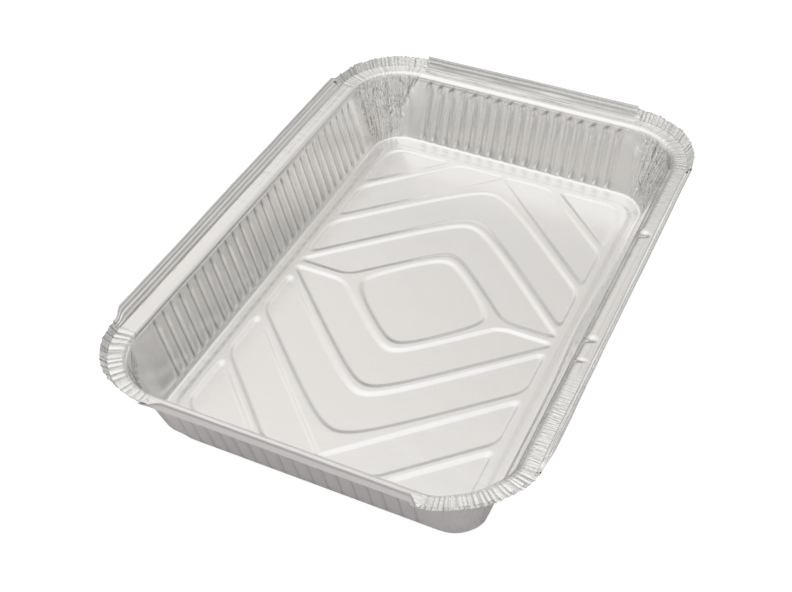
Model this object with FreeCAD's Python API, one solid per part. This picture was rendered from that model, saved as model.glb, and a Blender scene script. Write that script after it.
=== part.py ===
import FreeCAD, Part
import math
import os

Vec = FreeCAD.Vector

# Foil tray pressed from one sheet: millimetres, +Z up, origin on the base plane
# under the middle. The long side runs along Y.

# Plan: every outline of the tray is this core rectangle grown by an offset.
core_half_x = 69.0
core_half_y = 120.0

# Sheet and overall section
sheet = 0.6
tray_depth = 42.0
foot_offset = 18.8
wall_top_offset = 31.4
edge_round = 2.0
fold_offset = 40.0

# Lid lip: stands on the fold, leans outward, hemmed along its free edge
lip_rise = 7.6
lip_lean = 3.6
hem_share = 0.36
hem_swell = 0.5

# Flutes: narrow grooves between flat bands, pressed outward. Each straight side
# is smooth for a stretch at both its ends.
flute_pitch = 7.7
flute_width = 3.4
flute_depth = 0.9
smooth_end_long = 12.0
smooth_end_short = 7.0
flute_start_z = 4.5
flute_end_z = 37.0

# Gathered corners
corner_steps = 18
wall_crease = 0.35
pleat_height = 0.55
pleat_rise = 4.6
pleat_reach = 3.6

# Base embossing: flat pans pressed down between narrow raised ribs
rib_height = 1.0
rib_slope = 2.4
rib_gap = 6.5
diamond_reach = 43.0
ring_pitch = 37.0
rib_incline = 0.98
stem_half = 2.8
ring_margin_x = 5.6
ring_margin_y = 9.0
ring_width_x = 5.7
ring_width_y = 5.0
ring_half_x = core_half_x + foot_offset - ring_margin_x
ring_half_y = core_half_y + foot_offset - ring_margin_y
field_half_x = ring_half_x - ring_width_x
field_half_y = ring_half_y - ring_width_y
ring_radius = 13.0
pan_radius = 3.5
tip_radius = 4.0
field_radius = 11.0
apex_radius = 14.0
apex_growth = 3.0
coarse_chords = 3
fine_chords = 6


# Stations round the tray: a place on the core rectangle, its outward direction,
# and its kind. A groove station is the middle line of one flute.
def straight_stations(centre, along, out, half, smooth_end):
    spaces = int(2.0 * (half - smooth_end) / flute_pitch)
    first = -flute_pitch * spaces / 2.0
    found = [(centre - along * half, out, along, "plain")]
    for index in range(spaces + 1):
        found.append((centre + along * (first + flute_pitch * index), out, along, "groove"))
    found.append((centre + along * half, out, along, "plain"))
    return found


def corner_stations(centre, start):
    found = []
    for step in range(1, corner_steps):
        angle = math.radians(start + 90.0 * step / corner_steps)
        out = Vec(math.cos(angle), math.sin(angle), 0)
        found.append((centre, out, Vec(-out.y, out.x, 0), "crease" if step % 2 else "plain"))
    return found


def stations():
    x = Vec(core_half_x, 0, 0)
    y = Vec(0, core_half_y, 0)
    east = Vec(1, 0, 0)
    north = Vec(0, 1, 0)
    west = east * -1
    south = north * -1
    found = straight_stations(x, north, east, core_half_y, smooth_end_long)
    found += corner_stations(x + y, 0)
    found += straight_stations(y, west, north, core_half_x, smooth_end_short)
    found += corner_stations(y - x, 90)
    found += straight_stations(x * -1, south, west, core_half_y, smooth_end_long)
    found += corner_stations(x * -1 - y, 180)
    found += straight_stations(y * -1, east, south, core_half_x, smooth_end_short)
    found += corner_stations(x - y, 270)
    return found


# One level of the wall: a group of points for each station. Where the flutes
# are open, a groove has both its edges and its middle, pushed outward.
def level(offset, z, fluted):
    groups = []
    for place, out, along, kind in stations():
        point = place + out * offset + Vec(0, 0, z)
        if fluted and kind == "groove":
            side = along * (flute_width / 2.0)
            groups.append([point - side, point + out * flute_depth, point + side])
        elif fluted and kind == "crease":
            groups.append([point + out * wall_crease])
        else:
            groups.append([point])
    return groups


def offset_at(z):
    share = z / (tray_depth - edge_round)
    return foot_offset + (wall_top_offset - foot_offset) * share


def levels(grow):
    return [
        level(foot_offset + grow, 0.0, False),
        level(offset_at(flute_start_z) + grow, flute_start_z, True),
        level(offset_at(flute_end_z) + grow, flute_end_z, True),
        level(wall_top_offset + edge_round + grow, tray_depth, False),
    ]


def triangle(a, b, c):
    return Part.Face(Part.makePolygon([a, b, c, a]))


def quad(a, b, c, d):
    return [triangle(a, b, c), triangle(a, c, d)]


def between(low, high):
    faces = []
    count = len(low)
    for index in range(count):
        under = low[index]
        over = high[index]
        for step in range(max(len(under), len(over)) - 1):
            if len(under) == len(over):
                faces += quad(under[step], under[step + 1], over[step + 1], over[step])
            elif len(under) > len(over):
                faces.append(triangle(under[step], under[step + 1], over[0]))
            else:
                faces.append(triangle(over[step], over[step + 1], under[0]))
        following = (index + 1) % count
        faces += quad(under[-1], low[following][0], high[following][0], over[-1])
    return faces


def closed(faces):
    shell = Part.makeShell(faces)
    shell.sewShape()
    solid = Part.makeSolid(shell)
    if solid.Volume < 0:
        solid.reverse()
    return solid


def wall():
    inner = levels(0.0)
    outer = levels(sheet)
    faces = between(inner[0], outer[0]) + between(inner[-1], outer[-1])
    for index in range(len(inner) - 1):
        faces += between(inner[index], inner[index + 1])
        faces += between(outer[index], outer[index + 1])
    return closed(faces)


# Outlines with rounded corners, given as straight edges: each edge is its
# outward direction and its distance from the origin. Grow moves every edge out.
def edge(nx, ny, distance):
    size = math.hypot(nx, ny)
    return (nx / size, ny / size, distance / size)


def meeting(first, second, grow):
    a, b, c = first
    d, e, f = second
    c += grow
    f += grow
    det = a * e - b * d
    return Vec((c * e - b * f) / det, (a * f - c * d) / det, 0)


def rounded(corner, back, ahead, radius):
    half = back.getAngle(ahead) / 2.0
    inward = (back + ahead).normalize()
    centre = corner + inward * (radius / math.sin(half))
    begin = corner + back * (radius / math.tan(half)) - centre
    swing = math.copysign(math.pi - 2.0 * half, ahead.cross(back).z)
    chords = fine_chords if radius > field_radius else coarse_chords
    points = []
    for step in range(chords + 1):
        angle = swing * step / chords
        cosine = math.cos(angle)
        sine = math.sin(angle)
        x = begin.x * cosine - begin.y * sine
        y = begin.x * sine + begin.y * cosine
        points.append(centre + Vec(x, y, 0))
    return points


def outline(edges, radii, grow, z):
    count = len(edges)
    corners = []
    for index in range(count):
        corners.append(meeting(edges[index], edges[(index + 1) % count], grow))
    points = []
    for index in range(count):
        corner = corners[index]
        back = (corners[index - 1] - corner).normalize()
        ahead = (corners[(index + 1) % count] - corner).normalize()
        hollow = back.cross(ahead).z > 0
        radius = radii[index] + (-grow if hollow else grow)
        points += rounded(corner, back, ahead, radius)
    lifted = [point + Vec(0, 0, z) for point in points]
    return Part.makePolygon(lifted + [lifted[0]])


def frustum(edges, radii, z, low_grow, high_grow):
    low = outline(edges, radii, low_grow, z)
    high = outline(edges, radii, high_grow, z + rib_height)
    return Part.makeLoft([low, high], True, True)


def box_edges(half_x, half_y):
    return [edge(0, -1, half_y), edge(1, 0, half_x), edge(0, 1, half_y), edge(-1, 0, half_x)]


# Pans of the base. Slanted edges are named by where they cross the Y axis.
def slant(side_x, side_y, crossing, inner):
    sign = -1.0 if inner else 1.0
    return edge(sign * side_x * rib_incline, sign * side_y, sign * crossing)


def diamond():
    edges = [
        slant(-1, -1, diamond_reach, False),
        slant(1, -1, diamond_reach, False),
        slant(1, 1, diamond_reach, False),
        slant(-1, 1, diamond_reach, False),
    ]
    return edges, [apex_radius] * 4


def near(level):
    return diamond_reach + rib_gap + ring_pitch * level


def far(level):
    return diamond_reach + ring_pitch * (level + 1)


def chevron(up, level):
    foot = edge(0, -up, -stem_half)
    right_end = foot if level == 0 else edge(1, 0, field_half_x)
    left_end = foot if level == 0 else edge(-1, 0, field_half_x)
    edges = [
        slant(1, up, near(level), True),
        right_end,
        slant(1, up, far(level), False),
        slant(-1, up, far(level), False),
        left_end,
        slant(-1, up, near(level), True),
    ]
    outer = apex_radius + apex_growth * (level + 1)
    inner = apex_radius + apex_growth * level
    if level == 0:
        radii = [tip_radius, tip_radius, outer, tip_radius, tip_radius, inner]
    else:
        radii = [pan_radius, pan_radius, outer, pan_radius, pan_radius, inner]
    return turned(edges, radii, up)


def band(right, up):
    edges = [
        slant(right, up, near(2), True),
        edge(right, 0, field_half_x),
        slant(right, up, far(2), False),
        edge(0, up, field_half_y),
    ]
    return turned(edges, [pan_radius] * 4, right * up)


def corner_pan(right, up):
    edges = [
        slant(right, up, near(3), True),
        edge(right, 0, field_half_x),
        edge(0, up, field_half_y),
    ]
    return turned(edges, [pan_radius, field_radius, pan_radius], right * up)


def turned(edges, radii, hand):
    if hand > 0:
        return edges, radii
    flipped = list(reversed(edges))
    return flipped, list(reversed(radii[:-1])) + [radii[-1]]


def pans():
    found = [diamond()]
    for up in (1, -1):
        found.append(chevron(up, 0))
        found.append(chevron(up, 1))
        for right in (1, -1):
            found.append(band(right, up))
            found.append(corner_pan(right, up))
    return found


def relief(z):
    half = rib_slope / 2.0
    ring = box_edges(ring_half_x, ring_half_y)
    plateau = frustum(ring, [ring_radius] * 4, z, half, -half)
    hollows = [frustum(edges, radii, z, -half, half) for edges, radii in pans()]
    return plateau.cut(hollows)


def base():
    reach = foot_offset + sheet / 2.0
    foot = box_edges(core_half_x + reach, core_half_y + reach)
    plan = Part.Face(outline(foot, [reach] * 4, 0.0, 0.0))
    plate = plan.extrude(Vec(0, 0, sheet))
    return plate.fuse(relief(sheet)).cut(relief(0.0))


# Rim on the straight sides: flat flange, then the lip with its hemmed edge.
def rim_section(outward, start):
    inner = wall_top_offset + edge_round + sheet / 2.0
    top = tray_depth
    crease_share = 1.0 - hem_share
    crease_out = fold_offset + lip_lean * crease_share + hem_swell / 2.0
    crease_z = top + lip_rise * crease_share
    profile = [
        (inner, top - sheet),
        (fold_offset, top - sheet),
        (crease_out, crease_z),
        (fold_offset + lip_lean, top + lip_rise),
        (fold_offset + lip_lean - sheet - hem_swell, top + lip_rise),
        (crease_out - sheet - hem_swell, crease_z),
        (crease_out - sheet, crease_z - hem_swell),
        (fold_offset - sheet, top),
        (inner, top),
    ]
    points = [start + outward * offset + Vec(0, 0, z) for offset, z in profile]
    return points


def rim_side(turn, half_across, half_along):
    angle = math.radians(turn)
    outward = Vec(math.cos(angle), math.sin(angle), 0)
    along = Vec(-math.sin(angle), math.cos(angle), 0)
    start = outward * half_across - along * half_along
    points = rim_section(outward, start)
    flange = Part.Face(Part.makePolygon(points + [points[0]]))
    return flange.extrude(along * (2.0 * half_along))


# Gathered rim corner: radial pleats that deepen from the wall to the free edge.
def pleat_grid(centre, start, drop):
    inner = wall_top_offset + edge_round + sheet / 2.0
    tracks = [
        (inner, 0.0, 0.0),
        (fold_offset, 0.0, pleat_height),
        (fold_offset + pleat_reach, pleat_rise, pleat_height),
    ]
    grid = []
    for offset, rise, height in tracks:
        row = []
        for step in range(corner_steps + 1):
            angle = math.radians(start + 90.0 * step / corner_steps)
            ridge = height if step % 2 else 0.0
            outward = Vec(math.cos(angle), math.sin(angle), 0)
            lean = Vec(0, 0, ridge) if rise == 0 else outward * -ridge
            row.append(centre + outward * offset + Vec(0, 0, tray_depth + rise - drop) + lean)
        grid.append(row)
    return grid


def sheet_between(top, bottom):
    faces = []
    rows = len(top)
    columns = len(top[0])
    for i in range(rows - 1):
        for j in range(columns - 1):
            for grid in (top, bottom):
                faces += quad(grid[i][j], grid[i + 1][j], grid[i + 1][j + 1], grid[i][j + 1])
        for j in (0, columns - 1):
            faces += quad(top[i][j], top[i + 1][j], bottom[i + 1][j], bottom[i][j])
    for j in range(columns - 1):
        for i in (0, rows - 1):
            faces += quad(top[i][j], top[i][j + 1], bottom[i][j + 1], bottom[i][j])
    return closed(faces)


def rim_corner(side_x, side_y, start):
    centre = Vec(side_x * core_half_x, side_y * core_half_y, 0)
    return sheet_between(pleat_grid(centre, start, 0.0), pleat_grid(centre, start, sheet))


def foil_tray():
    shapes = [base()]
    shapes.append(rim_side(0, core_half_x, core_half_y))
    shapes.append(rim_side(90, core_half_y, core_half_x))
    shapes.append(rim_side(180, core_half_x, core_half_y))
    shapes.append(rim_side(270, core_half_y, core_half_x))
    shapes.append(rim_corner(1, 1, 0))
    shapes.append(rim_corner(-1, 1, 90))
    shapes.append(rim_corner(-1, -1, 180))
    shapes.append(rim_corner(1, -1, 270))
    return wall().fuse(shapes).removeSplitter()


os.makedirs("parts", exist_ok=True)
foil_tray().exportStep("parts/foil_tray.step")
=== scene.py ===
import math

import bpy
import numpy as np
from mathutils import Matrix, Vector


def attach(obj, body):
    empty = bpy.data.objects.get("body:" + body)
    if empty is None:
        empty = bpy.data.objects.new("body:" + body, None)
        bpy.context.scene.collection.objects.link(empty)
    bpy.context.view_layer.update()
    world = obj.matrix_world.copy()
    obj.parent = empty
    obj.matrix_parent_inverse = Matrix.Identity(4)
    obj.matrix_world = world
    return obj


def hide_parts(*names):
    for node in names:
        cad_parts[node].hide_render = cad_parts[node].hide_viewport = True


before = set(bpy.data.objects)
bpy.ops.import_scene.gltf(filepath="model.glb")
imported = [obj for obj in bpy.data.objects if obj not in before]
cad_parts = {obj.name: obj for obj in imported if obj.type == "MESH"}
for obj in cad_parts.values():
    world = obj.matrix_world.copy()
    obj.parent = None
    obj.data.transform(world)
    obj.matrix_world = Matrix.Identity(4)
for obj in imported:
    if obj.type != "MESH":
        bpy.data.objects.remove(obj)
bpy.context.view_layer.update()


# Wall and flange: the tray's sides, from the foot up over a rounded edge and out to the
# fold. They are rolled aluminium foil, pressed between two tools in one stroke: fluted
# on the straight sides, gathered and crumpled at the corners. Sizes are millimetres.
core = np.array([69.0, 120.0])
depth = 42.0
rim_height = depth - 0.3
edge_height = 37.7
foot_height = 1.6
foot_offset = 19.3
side_top = {"right": 30.3, "back": 30.4, "left": 29.8, "front": 31.9}
side_round = {"right": 5.0, "back": 3.3, "left": 3.3, "front": 2.4}
side_fold = {"right": 40.3, "back": 39.8, "left": 40.2, "front": 39.8}
side_turn = {"right": 0, "back": 90, "left": 180, "front": 270}
corner_turn = {"back_right": 0, "back_left": 90, "front_left": 180, "front_right": 270}
round_the_tray = ["right", "back_right", "back", "back_left", "left", "front_left", "front", "front_right"]


def ease(start, end, x):
    share = np.clip((x - start) / (end - start), 0.0, 1.0)
    return share * share * (3.0 - 2.0 * share)


def bell(x, middle, width):
    return np.exp(-((x - middle) / width) ** 2)


def unevenness(x, seed):
    cell = np.floor(x).astype(int)
    part = ease(0.0, 1.0, x - cell)
    table = np.random.default_rng(seed).uniform(-1, 1, 4096)
    return table[cell % 4096] * (1 - part) + table[(cell + 1) % 4096] * part


def patches(x, y, seed):
    cell_x = np.floor(x).astype(int)
    cell_y = np.floor(y).astype(int)
    part_x = ease(0.0, 1.0, x - cell_x)
    part_y = ease(0.0, 1.0, y - cell_y)
    table = np.random.default_rng(seed).uniform(-1, 1, (128, 128))
    left, right = cell_x % 128, (cell_x + 1) % 128
    near, far = cell_y % 128, (cell_y + 1) % 128
    near_value = table[left, near] * (1 - part_x) + table[right, near] * part_x
    far_value = table[left, far] * (1 - part_x) + table[right, far] * part_x
    return near_value * (1 - part_y) + far_value * part_y


# Every outline is the core rectangle grown outward by an offset. A station is a place
# on the core with its outward direction, told by its run along a side, or by its share
# of a corner's quarter turn.
def side_stations(name, run):
    angle = math.radians(side_turn[name])
    out = np.round([math.cos(angle), math.sin(angle)])
    along = np.array([-out[1], out[0]])
    return out * core + run[:, None] * along, np.repeat(out[None], len(run), 0)


def corner_stations(name, share):
    angle = math.radians(corner_turn[name]) + share * math.pi / 2
    out = np.stack([np.cos(angle), np.sin(angle)], 1)
    middle = math.radians(corner_turn[name] + 45)
    corner = core * np.sign([math.cos(middle), math.sin(middle)])
    return np.repeat(corner[None], len(share), 0), out


def half_length(name):
    return core[1] if name in ("right", "left") else core[0]


def round_corner(sizes, name, share):
    if name in sizes:
        return np.full(len(share), sizes[name])
    index = round_the_tray.index(name)
    first = sizes[round_the_tray[index - 1]]
    last = sizes[round_the_tray[(index + 1) % 8]]
    return first + (last - first) * ease(0.0, 1.0, share)


# The front right corner was squeezed: its rim stands further in.
def pulled_in(name, share):
    return 2.6 * ease(0.0, 0.35, share) * ease(1.0, 0.6, share) * (name == "front_right")


# The sheet's columns follow the stations round the tray, with 15 across each flute.
flute_pitch = 7.7
flute_count = {"right": 29, "back": 17, "left": 29, "front": 17}
half_flute = [0.35, 0.8, 1.4, 1.8, 2.2, 2.6, 3.4]
flute_cuts = np.array([-cut for cut in half_flute[::-1]] + [0.0] + half_flute)
smooth_spacing = 1.1
corner_columns = 150
runs, shares, kinds, places, outs = [], [], [], [], []
for name in round_the_tray:
    if name in side_turn:
        middles = (np.arange(flute_count[name]) - (flute_count[name] - 1) / 2) * flute_pitch
        fluted = (middles[:, None] + flute_cuts).reshape(-1)
        smooth_count = int((half_length(name) - fluted[-1]) / smooth_spacing) + 2
        smooth_end = np.linspace(fluted[-1], half_length(name), smooth_count)[1:]
        run = np.concatenate([-smooth_end[::-1], fluted, smooth_end])
        share = np.zeros(len(run))
        spot, out = side_stations(name, run)
    else:
        share = np.linspace(0, 1, corner_columns + 2)[1:-1]
        run = np.zeros(corner_columns)
        spot, out = corner_stations(name, share)
    runs.append(run)
    shares.append(share)
    kinds += [name] * len(run)
    places.append(spot)
    outs.append(out)
run = np.concatenate(runs)
share = np.concatenate(shares)
kind = np.array(kinds)
spot = np.concatenate(places)
out = np.concatenate(outs)
columns = len(run)


def all_round(sizes):
    return np.concatenate([round_corner(sizes, name, part) for name, part in zip(round_the_tray, shares)])


pull = np.concatenate([pulled_in(name, part) for name, part in zip(round_the_tray, shares)])
wall_top = all_round(side_top) - pull
fold = all_round(side_fold) - pull
rounding = all_round(side_round)

# The section from the foot up: each row's offset, its height, and its share of the
# flange's width.
foot_rows = [(16.9, 0.40), (17.7, 0.42), (18.4, 0.62), (18.95, 1.05)]
heights = [foot_height, 2.1, 2.6, 3.1, 3.7, 4.5, 6.0, 7.8, 9.6, 11.4, 13.2, 15.0, 16.8, 18.6, 20.4]
heights += [22.2, 24.0, 25.8, 27.6, 29.2, 30.8, 32.2, 33.3, 34.2, 34.9, 35.5, 36.1, 36.7, 37.2, edge_height]
profile = [(np.full(columns, offset), z, 0.0) for offset, z in foot_rows]
for z in heights:
    climbed = (z - foot_height) / (edge_height - foot_height)
    profile.append((foot_offset + (wall_top - foot_offset) * climbed, z, 0.0))
for degrees in (14, 28, 42, 56, 72, 90):
    turn = math.radians(degrees)
    height = edge_height + (rim_height - edge_height) * math.sin(turn)
    profile.append((wall_top + rounding * (1 - math.cos(turn)), height, 0.0))
for part in (0.12, 0.26, 0.4, 0.55, 0.7, 0.84, 0.94, 1.0):
    profile.append((wall_top + rounding + (fold - wall_top - rounding) * part, rim_height, part))


def by_side(sizes):
    return np.array([sizes.get(name, 0.0) for name in kind])


# Each flute has its own small differences in depth, place, width and top end.
side_deep = {"right": 0.8, "back": 0.75, "left": 0.4, "front": 0.7}
# Strength of the painted shade line down each flute's middle, by side.
side_shade_line = {"right": 0.2, "back": 0.18, "left": 0.55, "front": 0.45}
on_side = np.isin(kind, list(side_turn))
flutes = np.array([flute_count.get(name, 1) for name in kind])
nearest = np.clip(np.round(run / flute_pitch + (flutes - 1) / 2), 0, flutes - 1)
own = nearest + np.array([100 * round_the_tray.index(name) for name in kind])
own_shift = 0.25 * unevenness(own, 4)
own_top = 0.7 * unevenness(own, 8)
own_width = 0.12 * unevenness(own, 9)
across = run - (nearest - (flutes - 1) / 2) * flute_pitch + own_shift
edge = np.abs(across)
flat_groove = ease(2.7 + own_width, 1.2 + own_width, edge)
round_groove = 0.5 + 0.5 * np.cos(math.pi * np.minimum(edge / 3.6, 1.0))
groove = (0.45 * flat_groove + 0.55 * round_groove) * on_side
groove_depth = groove * by_side(side_deep) * (1.0 + 0.2 * unevenness(own, 3))
groove_shade_line = bell(edge, 0.0, 0.55) * by_side(side_shade_line)

# The right wall's foot bows inward. The front foot stands out, also round its right
# corner, where the rim is pulled in.
bow = 2.0 * bell(run, 15, 34) * (kind == "right")
foot_out = 1.1 * (kind == "front") * ease(69.0, 60.0, -run)
foot_out += 1.1 * (kind == "front_right") * ease(1.0, 0.75, share) + 0.35 * pull


def pushed_out(z):
    foot_end = 0.7 + 0.9 * np.minimum(edge / 2.2, 1.5) ** 2
    top_end = 39.6 + own_top - 1.3 * np.minimum(edge / 1.5, 2.0)
    pressed = groove_depth * ease(foot_end, foot_end + 4.5, z) * ease(top_end, top_end - 6.0, z)
    return pressed - bow * ease(30, 0, z) + foot_out * ease(24, 0, z) * (z > 0.5)


# Painted shade on the sides: a dark line down each flute, at its foot, in the pocket
# at its folded top end, in the band under the right rim, and on the left wall's smooth
# end at the back.
def side_painted_shade(z):
    slanted = across + 0.9 * (z - 37.4) * (kind == "back")
    pocket = bell(slanted, 0.2, 1.2) * bell(z, 37.4 + own_top, 1.5) * on_side
    pocket *= (0.95 + 0.25 * unevenness(own, 14)) * np.where(kind == "back", 1.0, 0.45)
    band = ease(4.1, 5.0, rounding) * (0.9 + 0.2 * unevenness(run / 6.0, 77))
    smooth = (kind == "left") * ease(-112.5, -115.0, run)
    marks = groove_shade_line * ease(2.5, 6.0, z) * ease(39.5, 38.0, z)
    marks += 0.3 * groove * bell(z, 4.6, 2.0) + pocket
    marks += 0.62 * band * ease(35.5, 38.5, z) * ease(rim_height - 0.01, 41.3, z)
    return marks + 0.22 * smooth * ease(2.0, 8.0, z) * ease(41.0, 38.0, z)


# Crumples of a corner: how far it is crumpled at each place, the pitch of the creases,
# and single strokes of painted shade as (share of the turn, height, slant).
corner_seed = {"back_right": 11, "back_left": 23, "front_left": 37, "front_right": 41}
crumple_pitch = {"back_right": 1.6, "back_left": 1.9, "front_left": 1.8, "front_right": 2.2}
strokes = {
    "back_left": [
        (0.10, 36.5, 0.012), (0.13, 33.0, 0.014), (0.17, 28.5, 0.012), (0.22, 23.5, 0.012),
        (0.05, 37.5, 0.01),
    ],
    "back_right": [(0.62, 33.0, 0.004), (0.47, 35.0, 0.004), (0.30, 30.0, 0.004)],
    "front_left": [
        (0.50, 31.0, 0.012), (0.56, 27.0, 0.012), (0.61, 33.0, 0.010), (0.45, 36.0, 0.012),
        (0.9, 33.0, 0.003), (0.95, 31.0, 0.003),
    ],
    "front_right": [
        (0.06, 38.5, 0.004), (0.16, 38.0, 0.004), (0.6, 27.0, 0.003), (0.6, 23.0, 0.003),
        (0.36, 32.0, 0.003), (0.25, 33.0, 0.004),
    ],
}


def crumple_size(name, share, z):
    below_top = 0.3 * (1 - z / depth)
    if name == "back_right":
        size = 0.75 * ease(0.0, 0.05, share) * ease(0.90, 0.68, share)
    elif name == "back_left":
        size = 0.9 * ease(-0.02 + below_top, 0.12 + below_top, share) * ease(1.0, 0.94, share)
    elif name == "front_left":
        size = 0.6 * ease(0.40, 0.52, share) * ease(1.0, 0.9, share) * (0.25 + 0.75 * z / depth)
    else:
        size = 0.225 * ease(0.0, 0.2, share) * ease(1.0, 0.85, share)
    return size * ease(0.6, 5.0, z) * ease(41.0, 37.5, z)


def corner_crumples(name, share, z):
    arc = share * math.pi / 2 * 30
    level = np.full(len(share), z)
    size = crumple_size(name, share, z)
    warped = arc + 1.6 * patches(arc / 9.0 + 7, level / 11.0, 61)
    ridge = 1 - 2 * np.abs(unevenness(warped / crumple_pitch[name], corner_seed[name]))
    small = unevenness(warped / (crumple_pitch[name] * 0.42), corner_seed[name] + 1)
    big = patches(arc / 5.0 + 3, level / 7.0, corner_seed[name] + 2)
    push = size * (0.55 * ridge + 0.35 * small + 0.35 * big * np.abs(ridge))
    # Painted shade in the crumples' valleys, along the strokes and along the front left corner's three
    # creases.
    marks = 0.9 * size * np.clip(-0.5 * (ridge + small) - 0.15, 0, 1)
    for where, height, slant in strokes[name]:
        marks += 0.9 * bell(share + slant * (z - height), where, 0.011) * bell(z, height, 2.3)
    if name == "back_right":
        push += bell(share, 0.86, 0.05) * (0.25 * bell(z, 33.0, 4.0) - 0.2 * bell(z, 24.0, 4.0))
    if name == "front_left":
        for crease in range(3):
            height = 36.8 - 2.6 * crease - 24.0 * (share - 0.24)
            reach = ease(0.15 + 0.03 * crease, 0.26, share) * ease(0.60, 0.48, share)
            marks += (0.75 - 0.12 * crease) * bell(z, height, 0.8) * reach
    return push, marks, size / 0.8


# Pleats of a corner's flange, which start on its rounded edge. The lid lip's corner
# strips carry them on.
gather_height = 40.0
gather_rise = 3.4
pleat_count = {"back_right": 25, "back_left": 24, "front_left": 14, "front_right": 21}
pleat_height = {"back_right": 0.36, "back_left": 0.34, "front_left": 0.62, "front_right": 0.52}


def pleat_wave(name, share):
    uneven = unevenness(share * pleat_count[name] * 0.8, corner_seed[name] + 5)
    return np.abs(np.sin(math.pi * (share * pleat_count[name] + 0.42 * uneven)))


def pleats(name, share):
    tall = 0.75 + 0.35 * unevenness(share * pleat_count[name] * 0.9 + 3, corner_seed[name] + 6)
    return (pleat_wave(name, share) - 0.6) * tall


def pleated_flange(name, share, z, part):
    gather = (z - gather_height) / gather_rise + part * 0.5
    window = ease(0.0, 0.05, share) * ease(1.0, 0.95, share)
    # Painted shade along the pleats' creases and along fine lines among them.
    dark = window * ease(0.3, 0.6, gather)
    crease = 0.8 * ease(0.2, 0.0, pleat_wave(name, share)) * (0.4 + 0.6 * pleat_height[name] / 0.62)
    fine_line = unevenness(share * pleat_count[name] * 3.7, corner_seed[name] + 12)
    lift = pleat_height[name] * pleats(name, share) * window * gather
    return lift, dark * (crease + 0.25 * ease(-0.45, -0.8, fine_line))


# Flanges of the straight sides: fine ripples, two rolled beads, and on the right three
# dents in the edge and wrinkles across towards both ends.
ripple_lean = {"right": 0.9, "left": 0.1, "front": 0.3, "back": 0.1}
ripple_height = {"right": 0.02, "left": 0.02, "front": 0.04, "back": 0.02}


def straight_flange(name, run, offset, part):
    slanted = run + ripple_lean[name] * offset
    ripple = unevenness(slanted / 2.6, 92) + 0.8 * unevenness(slanted / 7.0, 93)
    strong = ripple_height[name] + 0.05 * ease(-50, -85, run) * (name == "right")
    lift = strong * ripple * ease(1.0, 0.85, part) * ease(0.0, 0.2, part)
    lift += 0.12 * bell(part, 0.28, 0.08) + 0.08 * bell(part, 0.66, 0.08)
    if name == "right":
        dents = 0.9 * bell(run, 57, 2.2) + 0.7 * bell(run, -32, 2.0) + 0.4 * bell(run, -48, 1.3)
        lift -= dents * bell(part, 0.05, 0.5)
    return lift


def cross_wrinkles(run, part):
    return (0.1 + 0.3 * ease(62, 85, run) + 0.9 * ease(-50, -85, run)) * ease(1.0, 0.9, part)


flange_limit = depth + 0.4
wall_rows = np.zeros((len(profile), columns, 3))
wall_folds = np.zeros((len(profile), columns))
wall_crumple = np.zeros((len(profile), columns))
wall_cross = np.zeros((len(profile), columns))
for i, (offset, z, part) in enumerate(profile):
    on_flange = z > gather_height
    push = pushed_out(z)
    lift = np.zeros(columns)
    wall_folds[i] = side_painted_shade(z)
    for name in corner_turn:
        here = kind == name
        crumpled, marks, crushed = corner_crumples(name, share[here], z)
        push[here] += crumpled
        wall_folds[i, here] += marks
        wall_crumple[i, here] = crushed + 0.13 * on_flange
        if on_flange:
            lift[here], marks = pleated_flange(name, share[here], z, part)
            wall_folds[i, here] += marks
    if on_flange:
        for name in side_turn:
            here = kind == name
            lift[here] = straight_flange(name, run[here], offset[here], part)
        wall_cross[i] = (kind == "right") * cross_wrinkles(run, part)
    wall_rows[i, :, :2] = spot + out * (offset + push)[:, None]
    wall_rows[i, :, 2] = np.minimum(z + lift, flange_limit)


# A shader socket, which adds its own nodes where it is used in an expression.
class Socket:
    def __init__(self, tree, link):
        self.tree = tree
        self.link = link

    def put(self, target, value):
        if isinstance(value, Socket):
            self.tree.links.new(value.link, target)
        else:
            target.default_value = value

    def node(self, kind, settings=None, values=None, output=0):
        made = self.tree.nodes.new(kind)
        for key, value in (settings or {}).items():
            if key == "stops":
                ramp = made.color_ramp
                for index, (position, colour) in enumerate(value):
                    stop = ramp.elements[index] if index < 2 else ramp.elements.new(position)
                    stop.position = position
                    stop.color = colour
            else:
                setattr(made, key, value)
        for key, value in (values or {}).items():
            self.put(made.inputs[key], value)
        return Socket(self.tree, made.outputs[output])

    def maths(self, operation, first, second=0.0):
        return self.node("ShaderNodeMath", {"operation": operation}, {0: first, 1: second})

    def __add__(self, other):
        return self.maths("ADD", self, other)

    def __sub__(self, other):
        return self.maths("SUBTRACT", self, other)

    def __rsub__(self, other):
        return self.maths("SUBTRACT", other, self)

    def __mul__(self, other):
        return self.maths("MULTIPLY", self, other)

    __radd__ = __add__
    __rmul__ = __mul__


# Foil: bright aluminium with fine rolling lines along the sheet and soft handling dents.
# Marks on the mesh add crumples, painted shade in creases and crumples, cross wrinkles
# and the base's duller skin.
foil = bpy.data.materials.new("foil")
foil.use_nodes = True
tree = foil.node_tree
skin = tree.nodes["Principled BSDF"]
place = Socket(tree, tree.nodes.new("ShaderNodeTexCoord").outputs["Object"])


def stretched(x, y, z):
    return place.node("ShaderNodeVectorMath", {"operation": "MULTIPLY"}, {0: place, 1: (x, y, z)})


def speckle(vector, scale, detail, roughness=0.5):
    values = {"Vector": vector, "Scale": scale, "Detail": detail, "Roughness": roughness}
    return place.node("ShaderNodeTexNoise", {"noise_dimensions": "3D"}, values)


def mark(name):
    return place.node("ShaderNodeAttribute", {"attribute_name": name}, {}, "Fac")


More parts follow.
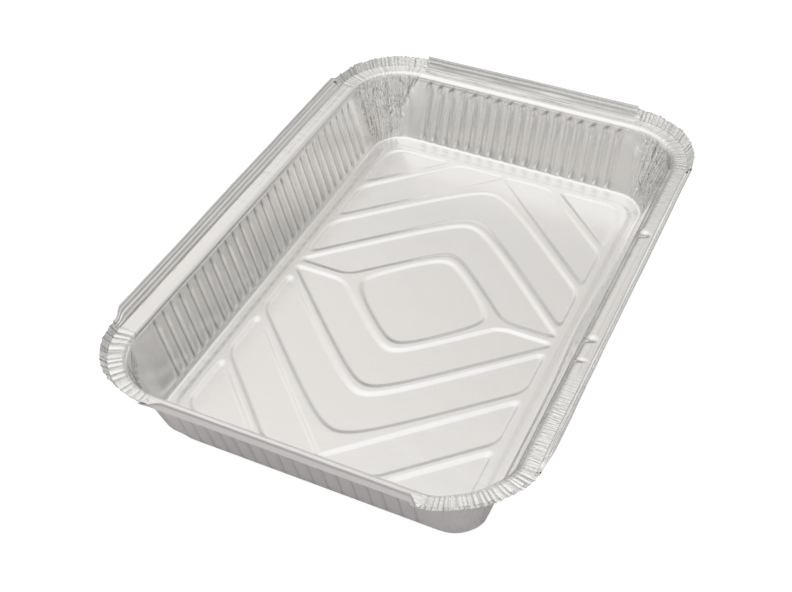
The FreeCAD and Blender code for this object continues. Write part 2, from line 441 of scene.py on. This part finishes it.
def eased(value, start, end, first, last):
    values = {0: value, 1: start, 2: end, 3: first, 4: last}
    return place.node("ShaderNodeMapRange", {"interpolation_type": "SMOOTHSTEP"}, values)


def mixed_colour(amount, first, second):
    return place.node("ShaderNodeMix", {"data_type": "RGBA"}, {0: amount, 6: first, 7: second}, 2)


rolling = speckle(stretched(1.0, 0.05, 1.0), 2600.0, 2.0)
handling = speckle(place, 55.0, 4.0, 0.55)
fine = speckle(place, 900.0, 3.0, 0.6)
crumple = mark("crumple")
crush = place.maths("ABSOLUTE", speckle(stretched(1.0, 1.0, 0.07), 820.0, 1.5, 0.6) - 0.5)
# Painted shade: dark lines along the crumples' creases, where the crumple mark is set.
crumple_shade_line = eased(crush, 0.0, 0.06, 1.0, 0.0)
line_break = eased(speckle(stretched(1.0, 1.0, 0.4), 260.0, 2.0), 0.40, 0.58, 0.0, 1.0)
wrinkles = speckle(stretched(0.12, 1.0, 1.0), 1000.0, 2.0)
clean = mixed_colour(speckle(place, 30.0, 2.0), (0.912, 0.905, 0.895, 1), (0.935, 0.924, 0.912, 1))
# The mark of painted shade and the painted crumple lines mix the colour towards the dark grey, the colour
# of painted shade.
dark = place.maths("MINIMUM", mark("folds") + crumple_shade_line * line_break * crumple * 0.7, 1.0)
relief = rolling * 0.25 + handling * 1.6 + fine * 0.25
relief = relief + crush * crumple * 24.0 + wrinkles * mark("cross") * 3.0
bump = place.node("ShaderNodeBump", {}, {"Strength": 0.35, "Distance": 0.0004, "Height": relief})
skin.inputs["Metallic"].default_value = 1.0
place.put(skin.inputs["Base Color"], mixed_colour(dark, clean, (0.36, 0.355, 0.345, 1)))
place.put(skin.inputs["Roughness"], handling * 0.08 + fine * 0.05 + mark("satin") * 0.1 + 0.07)
place.put(skin.inputs["Normal"], bump)


# Each piece of foil carries its marks on its points, and rides on the tray.
def foil_piece(name, points, faces, **marks):
    mesh = bpy.data.meshes.new(name)
    mesh.from_pydata([tuple(point) for point in points * 0.001], [], faces)
    mesh.shade_smooth()
    for label, amount in marks.items():
        layer = mesh.attributes.new(label, "FLOAT", "POINT")
        layer.data.foreach_set("value", np.ascontiguousarray(amount, dtype=np.float32).reshape(-1))
    mesh.update()
    piece = bpy.data.objects.new(name, mesh)
    bpy.context.scene.collection.objects.link(piece)
    piece.data.materials.append(foil)
    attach(piece, "root")
    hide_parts("foil_tray")


def sheet_piece(name, rows, joined=False, **marks):
    count = rows.shape[1]
    faces = []
    for i in range(rows.shape[0] - 1):
        for j in range(count if joined else count - 1):
            k = (j + 1) % count
            faces.append((i * count + j, i * count + k, (i + 1) * count + k, (i + 1) * count + j))
    foil_piece(name, rows.reshape(-1, 3), faces, **marks)


wall_folds = np.clip(wall_folds, 0, 0.9)
wall_crumple = np.clip(wall_crumple, 0, 1)
sheet_piece("tray_wall", wall_rows, True, folds=wall_folds, crumple=wall_crumple, cross=wall_cross)


# Base: flat pans pressed down between narrow raised ribs, and a low ring rib round
# them. It is one sheet with the wall, stamped from above and below in the same stroke.
floor_height = 0.4
rib_height = 0.72
rib_gap = 6.5
rib_incline = 0.98
diamond_reach = 43.0
diamond_bend = 7.6
ring_pitch = 37.0
stem_half = 2.8
pan_half_x = 76.5
pan_half_y = 124.8
ring_half_x = 82.2
ring_half_y = 129.8
base_edge = 17.3
base_spacing = 0.74
steep = math.hypot(1.0, rib_incline)


def inside_all(distances, radius):
    past_edge = [np.clip(distance + radius, 0, None) ** 2 for distance in distances]
    inner = np.minimum(np.maximum.reduce(distances) + radius, 0)
    return inner + np.sqrt(sum(past_edge)) - radius


def bent(x, bend):
    return np.sqrt(x * x + bend * bend)


# The distance to the nearest pan's outline, negative inside a pan: the diamond, two
# bent pans round it, a straight pan in each corner and the field beyond.
def pan_edge(x, y):
    ax, ay = np.abs(x), np.abs(y)
    found = [(bent(x, diamond_bend) * rib_incline + bent(y, diamond_bend) - diamond_reach - 1.0) / steep]
    for level in range(2):
        near = diamond_reach + rib_gap + ring_pitch * level
        far = diamond_reach + ring_pitch * (level + 1)
        inner = (near - bent(x, 7.5 + 2.2 * level) * rib_incline - ay) / steep
        outer = (bent(x, 9.5 + 2.5 * level) * rib_incline + ay - far) / steep
        end = stem_half - ay if level == 0 else ax - pan_half_x
        found.append(inside_all([inner, outer, end], 4.0))
    level = ax * rib_incline + ay
    near = diamond_reach + rib_gap + ring_pitch * 2
    far = diamond_reach + ring_pitch * 3
    slants = [(near - level) / steep, (level - far) / steep]
    found.append(inside_all(slants + [ax - pan_half_x, ay - pan_half_y], 3.6))
    field = inside_all([ax - pan_half_x, ay - pan_half_y], 11.0)
    found.append(inside_all([(far + rib_gap - level) / steep, field], 3.6))
    return np.minimum.reduce(found)


def base_height(x, y):
    rib = ease(-1.4, 1.5, pan_edge(x, y))
    ring = ease(1.3, -1.3, inside_all([np.abs(x) - ring_half_x, np.abs(y) - ring_half_y], 13.0))
    return floor_height + rib_height * rib * ring


# A square grid, drawn in to the foot's rounded outline where it passes it.
limit = core + base_edge
across_base = np.linspace(-limit[0], limit[0], int(2 * limit[0] / base_spacing))
along_base = np.linspace(-limit[1], limit[1], int(2 * limit[1] / base_spacing))
grid_x, grid_y = np.meshgrid(across_base, along_base)
past_x = np.clip(np.abs(grid_x) - core[0], 0, None)
past_y = np.clip(np.abs(grid_y) - core[1], 0, None)
past = np.hypot(past_x, past_y)
outside = past > base_edge
drawn_in = np.where(outside, base_edge / np.maximum(past, 1e-9), 1.0)
base_x = np.where(past_x > 0, np.sign(grid_x) * (core[0] + past_x * drawn_in), grid_x)
base_y = np.where(past_y > 0, np.sign(grid_y) * (core[1] + past_y * drawn_in), grid_y)
base_x = base_x - 2.0 * bell(base_y, 15, 34) * ease(62, 84, base_x)
to_foot = np.hypot(np.clip(np.abs(base_x) - core[0], 0, None), np.clip(np.abs(base_y) - core[1], 0, None))
slack = 0.07 * patches(base_x / 38 + 9, base_y / 38 + 9, 5)
slack += 0.02 * patches(base_x / 9 + 9, base_y / 9 + 9, 6)
base_z = base_height(base_x, base_y) + slack * ease(base_edge, base_edge - 6, to_foot)

# At the back right, painted shade darkens the ribs where they fall away outward.
slope_y, slope_x = np.gradient(base_z, along_base, across_base)
back_right = ease(35, 75, base_y) * ease(128, 124, base_y) * ease(0, 30, base_x) * ease(80, 77, base_x)
far_side_shade = 0.5 * np.clip(-2.4 * (slope_x + slope_y) - 0.1, 0, 1) * back_right
count = grid_x.shape[1]
dropped = outside.reshape(-1)
faces = []
for i in range(grid_x.shape[0] - 1):
    for j in range(count - 1):
        face = (i * count + j, i * count + j + 1, (i + 1) * count + j + 1, (i + 1) * count + j)
        if not all(dropped[corner] for corner in face):
            faces.append(face)
base_points = np.stack([base_x, base_y, base_z], -1).reshape(-1, 3)
foil_piece("tray_base", base_points, faces, satin=np.ones(base_z.size), folds=far_side_shade)


# Lid lip: a strip of the same sheet on each straight side. It stands on the fold and
# leans outward, with its free edge hemmed over inward and a bead below the hem.
# Each lip's lean outward and its rise, those of the corners between them, and the
# lengths over which a lip turns into its two corners' form.
lip_form = {"right": (4.3, 4.9), "left": (5.3, 5.6), "back": (2.8, 7.5), "front": (1.9, 7.4)}
corner_form = {
    "back_right": (3.5, 5.2),
    "back_left": (3.2, 4.6),
    "front_left": (3.3, 3.2),
    "front_right": (2.1, 0.3),
}
lip_blend = {"right": (9.0, 3.0), "back": (0.6, 0.6), "left": (4.0, 7.0), "front": (12.0, 2.5)}
lip_limit = 49.55

# The lip's section as (share of its height, swell): up the inner face with its bead and
# hem, over the free edge and down the outer face.
inner_face = [(0.0, 0.0), (0.04, 0.05), (0.08, 0.35), (0.16, 0.3), (0.26, 0.12), (0.34, 0.0), (0.36, -0.05)]
inner_face += [(0.46, -0.14), (0.56, -0.2), (0.6, -0.22)]
inner_face += [(0.605, 0.3), (0.66, 0.5), (0.74, 0.4), (0.82, 0.25)]
free_edge = [(0.9, 0.3), (0.96, 0.3), (1.0, 0.1), (0.98, -0.14)]
outer_face = [(0.9, -0.3), (0.75, -0.35), (0.6, -0.38), (0.4, -0.3)]
lip_section = inner_face + free_edge + outer_face
last_inside = len(inner_face + free_edge) - 1

# Lines of painted shade along each lip's inner face, as (share of its height, width, strength).
lip_shade_lines = {
    "right": [(0.06, 0.1, 0.5), (0.62, 0.06, 0.45), (0.96, 0.05, 0.4)],
    "left": [(0.0, 0.03, 0.3), (0.36, 0.03, 0.05), (0.6, 0.02, 0.2), (0.8, 0.03, 0.08), (1.0, 0.03, 0.2)],
    "back": [(0.36, 0.13, 0.25), (0.9, 0.13, 0.35)],
    "front": [(0.0, 0.03, 0.3), (0.97, 0.06, 0.6), (0.5, 0.05, 0.2)],
}
for name in side_turn:
    half = half_length(name)
    run = np.linspace(-half - 1.6, half + 1.6, int(2 * half / 0.8))
    index = round_the_tray.index(name)
    form = np.array(lip_form[name])
    before = np.array(corner_form[round_the_tray[index - 1]]) - form
    after = np.array(corner_form[round_the_tray[index + 1]]) - form
    start = ease(lip_blend[name][0], 0.0, run + half)[:, None]
    end = ease(lip_blend[name][1], 0.0, half - run)[:, None]
    lean, rise = (form + start * before + end * after).T
    spot, out = side_stations(name, run)
    seed = 60 + len(name)
    swell_out = -rise / np.hypot(lean, rise)
    swell_up = lean / np.hypot(lean, rise)
    sway = 0.16 * unevenness(run / 31.0, seed) + 0.05 * unevenness(run / 6.0, seed + 1)
    sag = 0.12 * unevenness(run / 47.0 + 5, seed + 2)
    rows = np.zeros((len(lip_section), len(run), 3))
    folds = np.zeros((len(lip_section), len(run)))
    for i, (share, swell) in enumerate(lip_section):
        swell = swell * (1.0 + 0.25 * unevenness(run / 17.0, seed + 3))
        if name == "left":
            swell = swell + 0.4 * ease(0.345, 0.36, share) * ease(0.6, 0.36, share)
        if name == "front" and i >= last_inside:
            swell = swell - 1.5 * ease(1.0, 0.3, share) * ease(0.0, lip_blend[name][0], run + half)
        offset = side_fold[name] + (lean + sway) * share + swell_out * swell
        rows[i, :, :2] = spot + out * offset[:, None]
        rows[i, :, 2] = rim_height + (rise + 0.2) * share + swell_up * swell + sag * share
        # Painted shade along the front lip's free edge and the top of its outer face.
        if name == "front" and last_inside - 1 <= i <= last_inside + 1:
            folds[i] = 0.5
        elif i <= last_inside:
            folds[i] = sum(strong * bell(share, middle, wide) for middle, wide, strong in lip_shade_lines[name])
    rows[:, :, 2] = np.minimum(rows[:, :, 2], lip_limit)
    sheet_piece("tray_lip_" + name, rows, folds=folds)


# Gathered rim corners: the strip beyond the fold goes on round each corner, pleated
# where the press squeezes it together. It stands at the back corners and lies nearly
# flat at the front right one.
strip_columns = 420
strip_rows = 12
strip_overlap = 0.045
overlap_length = 60.0
for name in corner_turn:
    lean, rise = corner_form[name]
    share = np.linspace(-strip_overlap, 1 + strip_overlap, strip_columns)
    turned = np.clip(share, 0, 1)
    spot, out = corner_stations(name, turned)
    angle = math.radians(corner_turn[name])
    first_side = np.array([-math.sin(angle), math.cos(angle)])
    last_side = np.array([-math.cos(angle), -math.sin(angle)])
    spot = spot + overlap_length * np.minimum(share, 0)[:, None] * first_side
    spot = spot + overlap_length * np.maximum(share - 1, 0)[:, None] * last_side
    ridge = pleats(name, turned) * ease(-0.03, 0.03, share) * ease(1.03, 0.97, share) * pleat_height[name]
    ragged = 1.0 + 0.09 * unevenness(share * pleat_count[name] * 1.7 + 40, corner_seed[name] + 9)
    strip_fold = round_corner(side_fold, name, turned) - pulled_in(name, turned)
    if name == "front_left":
        lean = lean * (1 - 0.5 * ease(0.45, 0.8, share))
    # Painted shade along the pleats' creases and fine lines, more on the front left strip's first part, and
    # along each strip's foot at the fold; the crumple mark adds painted crumple lines.
    crease = (0.5 if name == "back_left" else 0.85) * ease(0.25, 0.0, pleat_wave(name, turned))
    crease += 0.4 * ease(-0.4, -0.8, unevenness(share * pleat_count[name] * 3.1, corner_seed[name] + 13))
    if name == "front_left":
        crease += 0.25 * ease(0.42, 0.12, share)
    rows = np.zeros((strip_rows, strip_columns, 3))
    for i, part in enumerate(np.linspace(0, 1, strip_rows)):
        rows[i, :, :2] = spot + out * (strip_fold + lean * part * ragged - ridge * 0.8 * part)[:, None]
        rows[i, :, 2] = rim_height + rise * part * ragged + ridge * (1 - 0.5 * part)
    folds = np.repeat(crease[None], strip_rows, 0)
    folds[0] += 0.35
    folds = np.clip(folds, 0, 0.95)
    sheet_piece("tray_corner_" + name, rows, folds=folds, crumple=np.full(folds.shape, 0.22))


# Ground: a white table under the tray. The camera sees it white with the tray's own
# soft shadow, and the foil mirrors it as a pale matt sheet.
ground_mesh = bpy.data.meshes.new("ground")
ground_mesh.from_pydata([(-3, -3, 0), (3, -3, 0), (3, 3, 0), (-3, 3, 0)], [], [(0, 1, 2, 3)])
ground = bpy.data.objects.new("ground", ground_mesh)
bpy.context.scene.collection.objects.link(ground)
table = bpy.data.materials.new("ground")
table.use_nodes = True
tree = table.node_tree
tree.nodes.clear()
seen = Socket(tree, tree.nodes.new("ShaderNodeLightPath").outputs["Is Camera Ray"])
matt = seen.node("ShaderNodeBsdfDiffuse", {}, {"Color": (0.74, 0.715, 0.73, 1)})
shadowed = seen.node("ShaderNodeBsdfDiffuse", {}, {"Color": (0.28, 0.28, 0.28, 1)})
glow = seen.node("ShaderNodeEmission", {}, {"Color": (1, 1, 1, 1), "Strength": 0.88})
white_table = seen.node("ShaderNodeAddShader", {}, {0: shadowed, 1: glow})
surface = seen.node("ShaderNodeMixShader", {}, {0: seen, 1: matt, 2: white_table})
tree.links.new(surface.link, tree.nodes.new("ShaderNodeOutputMaterial").inputs["Surface"])
ground_mesh.materials.append(table)


# Studio: white behind the tray, and a soft room for the foil to mirror. It is bright
# overhead and low down, grey in between, and patchy at low heights.
studio = bpy.data.worlds.new("studio")
bpy.context.scene.world = studio
studio.use_nodes = True
tree = studio.node_tree
tree.nodes.clear()
way = Socket(tree, tree.nodes.new("ShaderNodeTexCoord").outputs["Generated"])
seen = Socket(tree, tree.nodes.new("ShaderNodeLightPath").outputs["Is Camera Ray"])


def between(value, start, end, first, last):
    return way.node("ShaderNodeMapRange", {}, {0: value, 1: start, 2: end, 3: first, 4: last})


# The room's tone by height. The first two stops are the ramp's own two ends.
room_tones = [
    (0.0, (0.98, 0.98, 0.98, 1)),
    (1.0, (1.04, 1.04, 1.04, 1)),
    (0.12, (0.90, 0.895, 0.89, 1)),
    (0.26, (0.54, 0.535, 0.525, 1)),
    (0.42, (0.47, 0.465, 0.455, 1)),
    (0.59, (0.88, 0.88, 0.865, 1)),
    (0.67, (0.79, 0.76, 0.735, 1)),
    (0.75, (0.82, 0.80, 0.77, 1)),
    (0.83, (0.98, 0.975, 0.97, 1)),
]
height = way.node("ShaderNodeSeparateXYZ", {}, {0: way}, "Z")
leftward_way = {0: way, 1: (-0.75, -0.65, 0.0)}
leftward = way.node("ShaderNodeVectorMath", {"operation": "DOT_PRODUCT"}, leftward_way, "Value")
tones = way.node("ShaderNodeValToRGB", {"stops": room_tones}, {0: height})
things = way.node("ShaderNodeTexNoise", {}, {"Vector": way, "Scale": 3.6, "Detail": 1.0})
patchy = between(things, 0.36, 0.64, 0.38, 1.62)
low_down = between(height, 0.24, 0.46, 1.0, 0.15)
above = between(height, 0.0, 0.16, 0.25, 1.0)
level = (leftward * above * 0.30 + 1.0) * ((patchy - 1.0) * low_down * above + 1.0)
lit = way.node("ShaderNodeVectorMath", {"operation": "SCALE"}, {0: tones, "Scale": level})
lit = way.node("ShaderNodeVectorMath", {"operation": "MINIMUM"}, {0: lit, 1: (1.05, 1.05, 1.05)})
room = way.node("ShaderNodeBackground", {}, {"Color": lit, "Strength": 1.0})
white = way.node("ShaderNodeBackground", {}, {"Color": (1, 1, 1, 1), "Strength": 1.0})
surroundings = way.node("ShaderNodeMixShader", {}, {0: seen, 1: room, 2: white})
tree.links.new(surroundings.link, tree.nodes.new("ShaderNodeOutputWorld").inputs["Surface"])
bpy.context.scene.view_settings.view_transform = "Standard"


# Camera: it stands in front of the tray and to its right, and looks down at 42 degrees.
# The lens is given in pixels of a picture 792 wide.
picture_width = 792.0
lens_pixels = 1243.8
lens = bpy.data.cameras.new("camera")
lens.sensor_width = 36.0
lens.lens = lens_pixels / picture_width * lens.sensor_width
eye = bpy.data.objects.new("camera", lens)
bpy.context.scene.collection.objects.link(eye)
azimuth, elevation, roll = math.radians(25.309), math.radians(42.128), math.radians(-0.422)
aim = Matrix.Rotation(azimuth, 4, "Z") @ Matrix.Rotation(math.pi / 2 - elevation, 4, "X")
aim = aim @ Matrix.Rotation(roll, 4, "Z")
eye.matrix_world = Matrix.Translation(Vector((0.2045, -0.4659, 0.4643))) @ aim
bpy.context.scene.camera = eye
